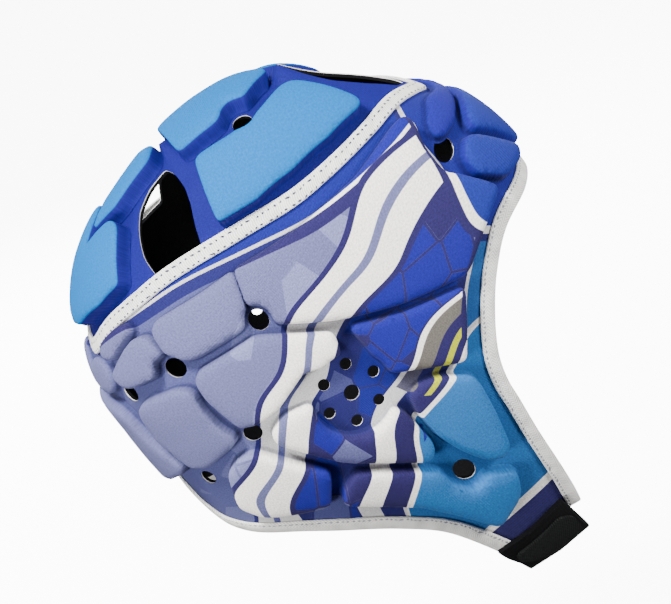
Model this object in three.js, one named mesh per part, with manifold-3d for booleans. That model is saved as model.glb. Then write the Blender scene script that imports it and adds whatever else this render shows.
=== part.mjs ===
// A padded rugby scrum cap, in millimetres. Front is -Y, up is +Z and the wearer's right is -X.
// The cloth follows one head form. Every outline is drawn on a flat pattern of that form, as a
// cutter would draw it, and then laid on the head.
import * as THREE from 'three';
import { mergeVertices } from 'three/addons/utils/BufferGeometryUtils.js';
import Module from 'manifold-3d';

const wasm = await Module();
wasm.setup();

// Driving dimensions
const headReach = 130; // from the ear axis to the cloth, the unit of the head profile
const halfWidth = 80; // from the middle plane to the cloth at the ear
const roundness = 2.35; // exponent of the cross sections, 2 is an ellipse
const backSpread = 0.05; // the head is broader behind the ears by this share
const jawTaper = 0.22; // and narrower at the jaw by this share
const spreadLength = 70; // over this length front to back
const taperDepth = 100; // and this depth below the ears
const patternRadius = 100; // radius of the flat pattern, on which the outlines are shares
const degreeShare = 0.022; // of it, one degree along the middle of the crown
const degreeLength = patternRadius * degreeShare;
const facetLength = 20; // facets of the cloth

const cloth = 2; // panel cloth with its lining
const clearance = 0.3; // between neighbouring pieces
const padRise = 7.5; // foam pads stand this far above the cloth
const crownPadRise = 9.5; // and the thicker pads of the crown
const padCorner = 6; // corners of the pads, on the pattern
const sharpBend = 0.8; // radians, bends from which a corner is cut off
const padDraft = 2; // the wall of a pad leans in by this much
const crownPadDraft = 1.2;
const padGap = 0.9; // half of the least groove at the tape and the bindings

const ventDiameter = 10.5; // punched holes in the grooves
const ventMargin = 4; // bare cloth round a punched hole
const crownVentDiameter = 10;
const earCentreDiameter = 9.5; // the middle one of the ear holes
const earRingDiameter = 7; // the six round it
const earRingRadius = 17.5;
const earRingTurn = 24; // degrees to the first of the six
const earZoneRadius = 25; // bare cloth round the ear holes

const tapeWidth = 8; // crown seam tape
const tapeThick = 1.2;
const bindingWidth = 8.5; // bound edges
const bindingThick = 1;
const strapWidth = 40; // chin strap
const strapThick = 2.5;
const strapDeg = -57.7; // direction of the strap seen from the ear
const strapEnd = 40; // its sewn ends on the pattern, from the middle plane
const tabWidth = 31; // stitched tab on each end of the strap
const tabLength = 17;
const tabThick = 1.5;
const tabInset = 4; // from the sewn end of the strap to its tab
const stripFacetLength = 14; // length of one facet along tapes and bindings
const facetSag = facetLength ** 2 / (4 * halfWidth); // how far the cloth's facets lie under its curve
const stripSag = stripFacetLength ** 2 / (8 * halfWidth); // and those of the tapes and bindings
const stripLow = clearance + 1.2 * stripSag; // from the cloth to the underside of tapes and bindings
const ventSides = 8; // facets of a punched hole
const earSides = 6; // and of an ear hole
const middleCount = 20; // facets of a side panel along the middle plane

const royalBlue = 0x2a42c8;
const crownCyan = 0x62b8e8;
const lavender = 0x9aa2cc;
const navy = 0x36356f;
const offWhite = 0xdedbd6;
const cheekCyan = 0x3f97d2;
const strapBlack = 0x17181b;

// Profile of the head in the middle plane. Angles run from the face over the crown to the back of
// the head, and below the ears towards the chin. The reach is a share of headReach.
const profile = [
  { deg: 0, reach: 1.069 }, { deg: 15, reach: 1.046 }, { deg: 30, reach: 1.062 },
  { deg: 45, reach: 1.077 }, { deg: 60, reach: 1.064 }, { deg: 75, reach: 1.046 },
  { deg: 90, reach: 1.019 }, { deg: 105, reach: 0.969 }, { deg: 120, reach: 0.927 },
  { deg: 135, reach: 0.908 }, { deg: 150, reach: 0.865 }, { deg: 165, reach: 0.804 },
  { deg: 180, reach: 0.719 }, { deg: 195, reach: 0.681 }, { deg: 210, reach: 0.692 },
  { deg: 225, reach: 0.723 }, { deg: 240, reach: 0.762 }, { deg: 255, reach: 0.85 },
  { deg: 270, reach: 0.962 }, { deg: 285, reach: 1.1 }, { deg: 300, reach: 1.215 },
  { deg: 315, reach: 1.277 }, { deg: 330, reach: 1.215 }, { deg: 345, reach: 1.123 },
];

// Right half of the crown seam, from the forehead to the back of the head. Each row gives the
// angle over the head and the distance out from the middle, a share of patternRadius.
const seam = [
  { deg: 51, out: 0 }, { deg: 53, out: 0.09 }, { deg: 59, out: 0.24 },
  { deg: 64.6, out: 0.374 }, { deg: 72, out: 0.483 }, { deg: 81.6, out: 0.567 },
  { deg: 91.7, out: 0.606 }, { deg: 110.3, out: 0.589 }, { deg: 128.7, out: 0.492 },
  { deg: 139.8, out: 0.395 }, { deg: 148.5, out: 0.26 }, { deg: 155, out: 0.12 },
  { deg: 157, out: 0 },
];

// Crown pads on the middle line, right half: angle over the head and share of patternRadius.
const crownMiddlePads = {
  crown_pad_front: [[81.5, 0], [82, 0.03], [88.4, 0.165], [96, 0.215], [105.6, 0.215], [105.6, 0]],
  crown_pad_middle: [[108, 0], [111, 0.085], [124, 0.085], [131, 0]],
  crown_pad_rear: [[134.5, 0], [126, 0.12], [126, 0.19], [129.4, 0.25], [136.6, 0.35],
    [143.5, 0.27], [150.6, 0.1], [151.6, 0]],
};
const crownSidePad = [[78.6, 0.165], [66.2, 0.298], [66.6, 0.325], [75, 0.434], [85.6, 0.518],
  [97, 0.56], [109, 0.555], [105, 0.35], [103.8, 0.285], [94.5, 0.3], [87, 0.26], [81, 0.175]];

// Openings of the crown: the leaf on the middle line, a vent on each side and a small round hole.
const leafOpening = [[79.8, 0], [76, 0.055], [70, 0.1], [63, 0.115], [56.2, 0.09], [54, 0]];
const backVent = [[110.4, 0.115], [109.4, 0.2], [109.6, 0.3], [111.2, 0.38], [113.7, 0.45],
  [116.6, 0.54], [131.5, 0.49], [128.8, 0.35], [125, 0.25], [121, 0.16], [116, 0.115]];
const crownHole = { deg: 91.2, out: 0.225 };

// Forehead and nape pads on the middle line, right half.
const bandMiddlePads = {
  forehead_pad_top: [[47.9, 0], [48.7, 0.1], [51.6, 0.2], [51.6, 0.33], [49.6, 0.375],
    [47.2, 0.35], [45.8, 0.28], [45.3, 0.16], [45.3, 0]],
  forehead_pad_centre: [[43.4, 0], [43.8, 0.16], [43.2, 0.25], [41.4, 0.275], [30, 0.13],
    [29, 0.07], [28.8, 0]],
  nape_pad_upper: [[162, 0], [158, 0.13], [157.4, 0.24], [161, 0.29], [165, 0.27], [167, 0.18],
    [167.3, 0]],
  nape_pad_lower: [[170, 0], [170, 0.24], [172, 0.29], [180, 0.37], [190, 0.49], [193, 0.47],
    [197, 0.26], [199.5, 0]],
};

// Pads of the right side, each corner forward of and above the ear as shares of patternRadius.
const sidePads = {
  brow_pad: [[0.845, 0.835], [0.94, 0.845], [1.09, 0.765], [1.22, 0.7], [1.16, 0.645],
    [1.04, 0.62], [0.89, 0.7]],
  temple_pad: [[-0.36, 0.79], [0.03, 0.862], [0.375, 0.938], [0.62, 1.035], [0.675, 1.045],
    [0.7, 0.99], [0.695, 0.905], [0.75, 0.77], [0.8, 0.745], [0.91, 0.665], [0.985, 0.605],
    [0.855, 0.48], [0.745, 0.345], [0.4, 0.37], [0.04, 0.43], [-0.27, 0.51], [-0.375, 0.6]],
  cheekbone_pad: [[0.1, 0.37], [0.4, 0.32], [0.72, 0.3], [0.685, 0.12], [0.63, -0.065],
    [0.505, -0.03], [0.24, 0.04]],
  cheek_pad: [[0.437, -0.085], [0.614, -0.148], [0.645, -0.56], [0.61, -0.605], [0.54, -0.585],
    [0.368, -0.463], [0.26, -0.185]],
  ear_pad: [[-0.5, -0.055], [-0.405, 0.03], [-0.2, 0.04], [0.16, -0.12], [0.25, -0.215],
    [0.33, -0.47], [0.3, -0.525], [-0.1, -0.385], [-0.2, -0.335], [-0.485, -0.125]],
  side_pad_upper: [[-0.84, 0.605], [-0.8, 0.65], [-0.576, 0.716], [-0.36, 0.79],
    [-0.39, 0.56], [-0.446, 0.521], [-0.71, 0.439], [-0.765, 0.45], [-0.82, 0.48]],
  side_pad_lower: [[-0.72, 0.375], [-0.39, 0.48], [-0.33, 0.465], [0, 0.375], [0, 0.2],
    [-0.235, 0.225], [-0.43, 0.07], [-0.62, 0.005], [-0.68, 0.118], [-0.735, 0.23], [-0.75, 0.325]],
  back_pad_top: [[-1.19, 0.535], [-1.16, 0.6], [-1.08, 0.635], [-0.98, 0.672], [-0.935, 0.655],
    [-0.95, 0.62], [-1.02, 0.575], [-1.12, 0.505]],
  back_pad_upper: [[-1.17, 0.43], [-1.02, 0.545], [-0.95, 0.59], [-0.865, 0.6], [-0.85, 0.56],
    [-0.825, 0.463], [-0.84, 0.411], [-1.08, 0.353], [-1.12, 0.36]],
  back_pad_lower: [[-1.09, 0.254], [-1, 0.283], [-0.848, 0.315], [-0.775, 0.295], [-0.77, 0.19],
    [-0.73, 0.065], [-0.67, -0.022], [-0.7, -0.06], [-0.882, -0.187], [-1, -0.192],
    [-1.13, 0.03], [-1.12, 0.2]],
  jaw_pad_rear: [[-0.79, -0.25], [-0.72, -0.17], [-0.62, -0.131], [-0.25, -0.395],
    [-0.285, -0.595], [-0.66, -0.58], [-0.79, -0.5]],
  jaw_pad_front: [[-0.2, -0.535], [-0.12, -0.445], [0.305, -0.592], [0.36, -0.69], [0.49, -0.668],
    [0.63, -0.68], [0.62, -0.8], [0.5, -0.93], [0.364, -0.84], [0.175, -0.735], [-0.043, -0.665],
    [-0.215, -0.61]],
};

// Punched holes of the right side, in the grooves between the pads.
const sideHoles = [
  { fore: -0.347, up: 0.547 }, { fore: 0.815, up: 0.856 }, { fore: -0.832, up: 0.41 },
  { fore: -1.186, up: 0.304 }, { fore: -0.602, up: -0.045 }, { fore: -0.982, up: -0.343 },
  { fore: 0.446, up: -0.641 },
];

// Finished edges of the right side, with their bindings.
const faceEdge = [[0.86, -0.94], [0.837, -0.791], [0.815, -0.589], [0.802, -0.375],
  [0.793, -0.278], [0.797, -0.128], [0.834, 0.057], [0.908, 0.282], [1, 0.427], [1.19, 0.527]];
const neckEdge = [[0.523, -1.17], [0.477, -1.103], [0.275, -0.939], [0.06, -0.869],
  [-0.235, -0.815], [-0.556, -0.793], [-0.848, -0.823], [-1, -0.835], [-1.17, -0.775],
  [-1.31, -0.7]];
const seatDeg = 90; // the head touches the crown at its top
const crownSheet = { from: 45, to: 165, out: 0.75 }; // what the crown is cut from
const sideSheet = { back: -1.75, front: 1.65, below: -1.35, above: 1.4 }; // and the sides
const faceEdgeMiddle = 24.2; // degrees at which the face edge meets the middle plane
const neckEdgeMiddle = 208; // and the neck edge

// The head form

const degree = Math.PI / 180;
const middleTurn = patternRadius * Math.PI / 2; // pattern distance from the ear to the middle plane

function reachAt(deg) {
  const step = 360 / profile.length;
  const place = ((deg % 360) + 360) % 360 / step;
  const i = Math.floor(place);
  const t = place - i;
  const row = (k) => profile[(i + k + profile.length) % profile.length].reach;
  const [a, b, c, d] = [row(-1), row(0), row(1), row(2)];
  const curve = b + 0.5 * t * (c - a + t * (2 * a - 5 * b + 4 * c - d + t * (3 * (b - c) + d - a)));
  return headReach * curve;
}

// A point of the cloth's outer face, at an angle over the head and a turn out from the middle plane.
function headPoint(deg, turn) {
  const across = Math.sin(turn);
  const along = Math.cos(turn);
  const sum = Math.abs(across / halfWidth) ** roundness + Math.abs(along / reachAt(deg)) ** roundness;
  const far = sum ** (-1 / roundness);
  const y = -far * along * Math.cos(deg * degree);
  const z = far * along * Math.sin(deg * degree);
  const depth = Math.max(0, -z / taperDepth);
  const spread = 1 + backSpread * Math.tanh(y / spreadLength) - jawTaper * depth ** 1.5;
  return new THREE.Vector3(-far * across * spread, y, z);
}

// Two flat patterns of the head: one spread out from the ear, one spread out from the crown's middle.
const sidePattern = (fore, up) => {
  const fromEar = Math.hypot(fore, up);
  return headPoint(Math.atan2(up, fore) / degree, (middleTurn - fromEar) / patternRadius);
};
const crownPattern = (along, out) => headPoint(along / degreeLength, out / patternRadius);

function lift(pattern, u, v, height) {
  const e = 0.01;
  const along = pattern(u + e, v).sub(pattern(u - e, v));
  const across = pattern(u, v + e).sub(pattern(u, v - e));
  return pattern(u, v).addScaledVector(along.cross(across).normalize(), height);
}

const onSide = ([fore, up]) => new THREE.Vector2(fore * patternRadius, up * patternRadius);
const onCrown = ([deg, out]) => new THREE.Vector2(deg * degreeLength, out * patternRadius);
const mirrored = (half) => half.concat(
  half.filter((corner) => corner[1] > 0).map(([deg, out]) => [deg, -out]).reverse(),
);

// Solids

function toManifold(geometry) {
  const bare = geometry.clone();
  for (const name of Object.keys(bare.attributes)) {
    if (name !== 'position') bare.deleteAttribute(name);
  }
  const merged = mergeVertices(bare);
  const mesh = new wasm.Mesh({
    numProp: 3,
    vertProperties: new Float32Array(merged.attributes.position.array),
    triVerts: new Uint32Array(merged.index.array),
  });
  return new wasm.Manifold(mesh);
}

function toGeometry(solid) {
  const mesh = solid.getMesh();
  const geometry = new THREE.BufferGeometry();
  geometry.setAttribute('position', new THREE.BufferAttribute(mesh.vertProperties, 3));
  geometry.setIndex(new THREE.BufferAttribute(mesh.triVerts, 1));
  return mainBody(geometry);
}

// The largest connected body of a cut piece, without the crumbs that a cut may leave.
function mainBody(geometry) {
  const index = Array.from(geometry.index.array);
  const owner = Array.from({ length: geometry.attributes.position.count }, (_, i) => i);
  const ownerOf = (i) => {
    let top = i;
    while (owner[top] !== top) top = owner[top];
    owner[i] = top;
    return top;
  };
  for (let t = 0; t < index.length; t += 3) {
    owner[ownerOf(index[t + 1])] = ownerOf(index[t]);
    owner[ownerOf(index[t + 2])] = ownerOf(index[t]);
  }
  const sizes = new Map();
  for (const i of index) sizes.set(ownerOf(i), (sizes.get(ownerOf(i)) || 0) + 1);
  const largest = [...sizes].sort((a, b) => b[1] - a[1])[0][0];
  geometry.setIndex(index.filter((i) => ownerOf(i) === largest));
  return geometry;
}

function fromFaces(points, faces) {
  const geometry = new THREE.BufferGeometry();
  geometry.setFromPoints(points);
  geometry.setIndex(faces.flat());
  return geometry;
}

// Rings of equal length joined into one closed body. The caps are lists of faces on one ring, or a
// point that the ring closes on.
function loft(rings, caps) {
  const count = rings[0].length;
  const points = rings.flat();
  const faces = [];
  for (let r = 0; r < rings.length - 1; r += 1) {
    for (let i = 0; i < count; i += 1) {
      const a = r * count + i;
      const b = r * count + (i + 1) % count;
      faces.push([a, b, b + count], [a, b + count, a + count]);
    }
  }
  const top = (rings.length - 1) * count;
  if (caps.faces) {
    for (const [a, b, c] of caps.faces) faces.push([a, c, b], [top + a, top + b, top + c]);
  } else {
    points.push(caps.below, caps.above);
    for (let i = 0; i < count; i += 1) {
      const next = (i + 1) % count;
      faces.push([next, i, points.length - 2], [top + i, top + next, points.length - 1]);
    }
  }
  return fromFaces(points, faces);
}

// A sheet of the head between two heights, with a facet for each step of its pattern. The facets
// of a sheet that spans the middle line are mirrored about it.
function sheet(pattern, box, low, high) {
  const nu = 2 * Math.ceil((box.max.x - box.min.x) / facetLength / 2);
  const nv = 2 * Math.ceil((box.max.y - box.min.y) / facetLength / 2);
  const points = [];
  for (const height of [low, high]) {
    for (let j = 0; j <= nv; j += 1) {
      for (let i = 0; i <= nu; i += 1) {
        const u = THREE.MathUtils.lerp(box.min.x, box.max.x, i / nu);
        const v = THREE.MathUtils.lerp(box.min.y, box.max.y, j / nv);
        points.push(lift(pattern, u, v, height));
      }
    }
  }
  const at = (i, j, layer) => layer * (nu + 1) * (nv + 1) + j * (nu + 1) + i;
  const faces = [];
  const quad = (a, b, c, d) => faces.push([a, b, c], [a, c, d]);
  for (let j = 0; j < nv; j += 1) {
    for (let i = 0; i < nu; i += 1) {
      const [a, b, c, d] = [at(i, j, 1), at(i + 1, j, 1), at(i + 1, j + 1, 1), at(i, j + 1, 1)];
      const [e, f, g, h] = [at(i, j, 0), at(i + 1, j, 0), at(i + 1, j + 1, 0), at(i, j + 1, 0)];
      if (j < nv / 2) {
        quad(a, b, c, d);
        quad(e, h, g, f);
      } else {
        quad(b, c, d, a);
        quad(f, e, h, g);
      }
    }
  }
  for (let i = 0; i < nu; i += 1) {
    quad(at(i, 0, 0), at(i + 1, 0, 0), at(i + 1, 0, 1), at(i, 0, 1));
    quad(at(i + 1, nv, 0), at(i, nv, 0), at(i, nv, 1), at(i + 1, nv, 1));
  }
  for (let j = 0; j < nv; j += 1) {
    quad(at(0, j + 1, 0), at(0, j, 0), at(0, j, 1), at(0, j + 1, 1));
    quad(at(nu, j, 0), at(nu, j + 1, 0), at(nu, j + 1, 1), at(nu, j, 1));
  }
  return toManifold(fromFaces(points, faces));
}

function counterclockwise(outline) {
  return THREE.ShapeUtils.isClockWise(outline) ? outline.slice().reverse() : outline;
}

function roundCorners(corners, radius) {
  const rounded = [];
  corners.forEach((corner, i) => {
    const before = corners[(i + corners.length - 1) % corners.length];
    const after = corners[(i + 1) % corners.length];
    const back = before.clone().sub(corner);
    const ahead = after.clone().sub(corner);
    const bend = Math.abs(Math.PI - back.angleTo(ahead));
    if (bend < sharpBend) {
      rounded.push(corner.clone());
      return;
    }
    const reach = Math.min(radius * Math.min(1, bend), back.length() * 0.45, ahead.length() * 0.45);
    const start = corner.clone().addScaledVector(back.normalize(), reach);
    const end = corner.clone().addScaledVector(ahead.normalize(), reach);
    rounded.push(start, end);
  });
  return rounded;
}

function inset(outline, distance) {
  return outline.map((point, i) => {
    const before = outline[(i + outline.length - 1) % outline.length];
    const after = outline[(i + 1) % outline.length];
    const run = after.clone().sub(before).normalize();
    return new THREE.Vector2(point.x - run.y * distance, point.y + run.x * distance);
  });
}

// A block standing on an outline, through the cloth and past both its faces.
const deepest = -30;
const highest = 40;
function block(pattern, corners, steps = [], caps = null) {
  const outline = counterclockwise(corners);
  const last = steps.length > 0 ? steps[steps.length - 1].inset : 0;
  const levels = [{ height: deepest, inset: 0 }, ...steps, { height: highest, inset: last }];
  const rings = levels.map((level) => (
    inset(outline, level.inset).map((p) => lift(pattern, p.x, p.y, level.height))
  ));
  const ends = caps || { faces: THREE.ShapeUtils.triangulateShape(outline, []) };
  return toManifold(loft(rings, ends));
}

function punch(pattern, place, diameter, sides = ventSides) {
  const foot = lift(pattern, place.x, place.y, deepest);
  const head = lift(pattern, place.x, place.y, highest);
  const drill = new THREE.CylinderGeometry(diameter / 2, diameter / 2, highest - deepest, sides);
  const axis = head.clone().sub(foot).normalize();
  const upright = new THREE.Vector3(0, 1, 0);
  drill.applyQuaternion(new THREE.Quaternion().setFromUnitVectors(upright, axis));
  drill.translate(...head.add(foot).multiplyScalar(0.5).toArray());
  return toManifold(drill);
}

// A path beside another, at a true distance on the cloth to the left of it. A path that ends on the
// middle line leaves it squarely.
function beside(pattern, path, across, { closed = false, middleEnd = false } = {}) {
  return path.map((place, i) => {
    const before = path[closed ? (i + path.length - 1) % path.length : Math.max(i - 1, 0)];
    const after = path[closed ? (i + 1) % path.length : Math.min(i + 1, path.length - 1)];
    const run = after.clone().sub(before).normalize();
    if (middleEnd && i === path.length - 1) run.copy(place).normalize();
    const left = new THREE.Vector2(-run.y, run.x);
    const near = pattern(place.x + left.x / 2, place.y + left.y / 2);
    const scale = near.distanceTo(pattern(place.x - left.x / 2, place.y - left.y / 2));
    return place.clone().addScaledVector(left, across / scale);
  });
}

// A cross section of [across, height] corners at each place of a path on the pattern.
function strip(pattern, path, section, ends) {
  const lines = section.map(([across, height]) => (
    beside(pattern, path, across, ends).map((p) => lift(pattern, p.x, p.y, height))
  ));
  return path.map((place, i) => lines.map((line) => line[i]));
}

// Sections joined into one closed body, as a ring or with both ends capped.
function joinSections(sections, closed) {
  const count = sections[0].length;
  const points = sections.flat();
  const faces = [];
  const last = closed ? sections.length : sections.length - 1;
  for (let s = 0; s < last; s += 1) {
    const next = (s + 1) % sections.length;
    for (let i = 0; i < count; i += 1) {
      const j = (i + 1) % count;
      const [a, b, c, d] = [s * count + i, s * count + j, next * count + j, next * count + i];
      faces.push([a, b, c], [a, c, d]);
    }
  }
  if (!closed) {
    const flat = flatten(sections[0]);
    for (const [a, b, c] of THREE.ShapeUtils.triangulateShape(flat, [])) {
      const top = (sections.length - 1) * count;
      faces.push([a, c, b], [top + a, top + b, top + c]);
    }
  }
  return outward(fromFaces(points, faces));
}

// A section's corners in its own plane, for its caps.
function flatten(section) {
  const origin = section[0];
  const right = section[1].clone().sub(origin).normalize();
  const away = section[section.length - 1].clone().sub(origin);
  const upward = away.addScaledVector(right, -away.dot(right)).normalize();
  return section.map((p) => {
    const from = p.clone().sub(origin);
    return new THREE.Vector2(from.dot(right), from.dot(upward));
  });
}

function outward(geometry) {
  const p = geometry.attributes.position;
  const index = geometry.index;
  const corner = (k) => new THREE.Vector3().fromBufferAttribute(p, index.getX(k));
  let volume = 0;
  for (let t = 0; t < index.count; t += 3) {
    volume += corner(t).dot(corner(t + 1).cross(corner(t + 2)));
  }
  if (volume < 0) flip(geometry);
  return geometry;
}

function flip(geometry) {
  const index = geometry.index;
  for (let t = 0; t < index.count; t += 3) {
    const first = index.getX(t);
    index.setX(t, index.getX(t + 1));
    index.setX(t + 1, first);
  }
}

function toLeft(geometry) {
  const other = geometry.clone();
  other.scale(-1, 1, 1);
  flip(other);
  return other;
}

// The cap, moved so that its origin is where the inside of the crown sits on the head

const seat = lift(crownPattern, seatDeg * degreeLength, 0, -cloth);
const cap = new THREE.Group();
cap.position.set(-seat.x, -seat.y, -seat.z);

function addPiece(name, geometry, color, roughness = 0.85) {
  geometry.computeVertexNormals();
  const material = new THREE.MeshStandardMaterial({ color, roughness, metalness: 0 });
  const mesh = new THREE.Mesh(geometry, material);
  mesh.name = name;
  cap.add(mesh);
}

function addPair(name, geometry, color, roughness) {
  addPiece(`${name}_right`, geometry, color, roughness);
  addPiece(`${name}_left`, toLeft(geometry), color, roughness);
}

// The crown seam, a closed loop through its rows and their mirrored rows
const seamCorners = mirrored(seam.map(({ deg, out }) => [deg, out])).map(onCrown);
const seamCurve = new THREE.CatmullRomCurve3(
  seamCorners.map((p) => new THREE.Vector3(p.x, p.y, 0)), true, 'centripetal',
);
const seamCount = 2 * Math.round(seamCurve.getLength() / stripFacetLength / 2);
const seamLoop = counterclockwise(
  seamCurve.getSpacedPoints(seamCount).slice(0, seamCount).map((p) => new THREE.Vector2(p.x, p.y)),
);

// Sheets that the panels and pads are cut from
const crownBox = new THREE.Box2(
  onCrown([crownSheet.from, -crownSheet.out]), onCrown([crownSheet.to, crownSheet.out]),
);
const sideBox = new THREE.Box2(
  onSide([sideSheet.back, sideSheet.below]), onSide([sideSheet.front, sideSheet.above]),
);
const crownCloth = sheet(crownPattern, crownBox, -cloth, 0);
const sideCloth = sheet(sidePattern, sideBox, -cloth, 0);
const crownFoam = sheet(crownPattern, crownBox, clearance, crownPadRise);
const sideFoam = sheet(sidePattern, sideBox, clearance, padRise);

const far = 3 * headReach;
const crownCaps = { below: new THREE.Vector3(0, 0, 0), above: new THREE.Vector3(0, 0, far) };
const sideCaps = { below: new THREE.Vector3(0, 0, 0), above: new THREE.Vector3(-far, 0, 0) };

// Panels are cut with walls that stay straight through the cloth
const halfGap = clearance / 2;
const clothSteps = [
  { height: -cloth - 2 * facetSag, inset: 0 }, { height: 2 * facetSag, inset: 0 },
];

// Crown panel
const crownVent = punch(crownPattern, onCrown([crownHole.deg, crownHole.out]), crownVentDiameter);
const crownVentLeft = punch(crownPattern, onCrown([crownHole.deg, -crownHole.out]), crownVentDiameter);
const ventOutline = backVent.map(onCrown);
const ventOutlineLeft = backVent.map(([deg, out]) => onCrown([deg, -out]));
const crownPanel = crownCloth
  .intersect(block(crownPattern, inset(seamLoop, halfGap), clothSteps, crownCaps))
  .subtract(block(crownPattern, mirrored(leafOpening).map(onCrown)))
  .subtract(block(crownPattern, ventOutline))
  .subtract(block(crownPattern, ventOutlineLeft))
  .subtract(crownVent)
  .subtract(crownVentLeft);
addPiece('crown_panel', toGeometry(crownPanel), royalBlue);

// Right side panel, from the seam round the forehead, the face, the flap and the nape
const patternMiddle = (deg, back = 0) => new THREE.Vector2(
  (middleTurn - back) * Math.cos(deg * degree), (middleTurn - back) * Math.sin(deg * degree),
);
const crownToSide = (p) => {
  const fromEar = middleTurn - p.y;
  const turn = p.x / degreeLength * degree;
  return new THREE.Vector2(fromEar * Math.cos(turn), fromEar * Math.sin(turn));
};
const smooth = (corners) => {
  const curve = new THREE.CatmullRomCurve3(
    corners.map((p) => new THREE.Vector3(p.x, p.y, 0)), false, 'centripetal',
  );
  const count = Math.round(curve.getLength() / stripFacetLength);
  return curve.getSpacedPoints(count).map((p) => new THREE.Vector2(p.x, p.y));
};
const facePath = smooth([...faceEdge.map(onSide), patternMiddle(faceEdgeMiddle)]);
const neckPath = smooth([...neckEdge.map(onSide), patternMiddle(neckEdgeMiddle)]);
const edgeBack = bindingThick + clearance;
const toMiddle = { middleEnd: true };
const insideMiddle = (p) => p.clampLength(0, middleTurn - halfGap);
const insideFace = beside(sidePattern, facePath, edgeBack, toMiddle).map(insideMiddle);
const insideNeck = beside(sidePattern, neckPath, -edgeBack, toMiddle).map(insideMiddle);
const degOf = (p) => (Math.atan2(p.y, p.x) / degree + 360) % 360;
const overCrown = Array.from({ length: middleCount + 1 }, (_, i) => {
  const start = degOf(insideFace[insideFace.length - 1]);
  const end = degOf(insideNeck[insideNeck.length - 1]);
  return patternMiddle(THREE.MathUtils.lerp(start, end, i / middleCount), halfGap);
});
const sideOutline = [...insideFace, ...overCrown.slice(1, -1), ...insideNeck.slice().reverse()];

const sideVents = sideHoles.map(({ fore, up }) => punch(sidePattern, onSide([fore, up]), ventDiameter));
const earHoles = [punch(sidePattern, new THREE.Vector2(0, 0), earCentreDiameter, earSides)];
for (let i = 0; i < 6; i += 1) {
  const turn = (earRingTurn + 60 * i) * degree;
  const place = new THREE.Vector2(Math.cos(turn), Math.sin(turn)).multiplyScalar(earRingRadius);
  earHoles.push(punch(sidePattern, place, earRingDiameter, earSides));
}
let sideWhole = sideCloth.intersect(block(sidePattern, sideOutline, clothSteps, sideCaps));
for (const hole of [...sideVents, ...earHoles]) sideWhole = sideWhole.subtract(hole);
const underCrown = block(crownPattern, inset(seamLoop, -halfGap), clothSteps, crownCaps);
const leftWhole = toManifold(toLeft(toGeometry(sideWhole)));
addPiece('side_panel_right', toGeometry(sideWhole.subtract(underCrown)), lavender);
addPiece('side_panel_left', toGeometry(leftWhole.subtract(underCrown)), lavender);

// Crown seam tape
const tapeSection = [
  [-tapeWidth / 2, stripLow], [tapeWidth / 2, stripLow],
  [tapeWidth / 2, stripLow + tapeThick], [-tapeWidth / 2, stripLow + tapeThick],
];
const tape = joinSections(strip(crownPattern, seamLoop, tapeSection, { closed: true }), true);
addPiece('crown_seam_tape', tape, offWhite);

// Bindings, folded round the edges of the side panels
const inner = -cloth - clearance - facetSag;
const bindingSection = (side) => [
  [0, stripLow + bindingThick], [side * bindingWidth, stripLow + bindingThick],
  [side * bindingWidth, stripLow], [side * bindingThick, stripLow],
  [side * bindingThick, inner], [side * bindingWidth, inner],
  [side * bindingWidth, inner - bindingThick], [0, inner - bindingThick],
];
function bothSides(sections) {
  const right = sections.slice();
  const middle = right.pop().map((p) => new THREE.Vector3(0, p.y, p.z));
  const left = right.map((section) => section.map((p) => new THREE.Vector3(-p.x, p.y, p.z)));
  return [...right, middle, ...left.reverse()];
}
const faceSections = strip(sidePattern, facePath, bindingSection(1), toMiddle);
const neckSections = strip(sidePattern, neckPath, bindingSection(-1), toMiddle);
addPiece('face_binding', joinSections(bothSides(faceSections), false), offWhite);
addPiece('neck_binding', joinSections(bothSides(neckSections), false), offWhite);

// Chin strap, one band from flap to flap under the chin, with a stitched tab on each end
const strapLow = stripLow + bindingThick + stripLow;
const strapCount = 2 * Math.round(2 * strapEnd / stripFacetLength);
const strapPath = Array.from({ length: strapCount + 1 }, (_, i) => new THREE.Vector2(
  strapDeg * degreeLength, THREE.MathUtils.lerp(strapEnd, -strapEnd, i / strapCount),
));
const flatSection = (width, low, thick) => [
  [-width / 2, low], [0, low], [width / 2, low],
  [width / 2, low + thick], [0, low + thick], [-width / 2, low + thick],
];
const strap = strip(crownPattern, strapPath, flatSection(strapWidth, strapLow, strapThick));
addPiece('chin_strap', joinSections(strap, false), strapBlack);

const tabLow = strapLow + strapThick + stripLow;
const tabPath = [0, 0.5, 1].map((t) => new THREE.Vector2(
  strapDeg * degreeLength, strapEnd - tabInset - t * tabLength,
));
const tab = strip(crownPattern, tabPath, flatSection(tabWidth, tabLow, tabThick));
addPair('strap_tab', joinSections(tab, false), strapBlack);

// Foam pads, kept clear of the tape, the bindings and the punched holes
const padSteps = [{ height: 0, inset: 0 }, { height: padRise, inset: padDraft }];
const crownSteps = [{ height: 0, inset: 0 }, { height: crownPadRise, inset: crownPadDraft }];
const keepOff = (width) => [
  [-width, -2 * facetSag], [width, -2 * facetSag],
  [width, 2 * crownPadRise], [-width, 2 * crownPadRise],
];
const tapeClear = toManifold(joinSections(
  strip(crownPattern, seamLoop, keepOff(tapeWidth / 2 + padGap), { closed: true }), true,
));
const margin = 2 * ventMargin;
const crownClear = [
  tapeClear,
  punch(crownPattern, onCrown([crownHole.deg, crownHole.out]), crownVentDiameter + margin),
  punch(crownPattern, onCrown([crownHole.deg, -crownHole.out]), crownVentDiameter + margin),
];
const sideClear = [
  tapeClear,
  punch(sidePattern, new THREE.Vector2(0, 0), 2 * earZoneRadius),
  ...sideHoles.map(({ fore, up }) => punch(sidePattern, onSide([fore, up]), ventDiameter + margin)),
];

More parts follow.
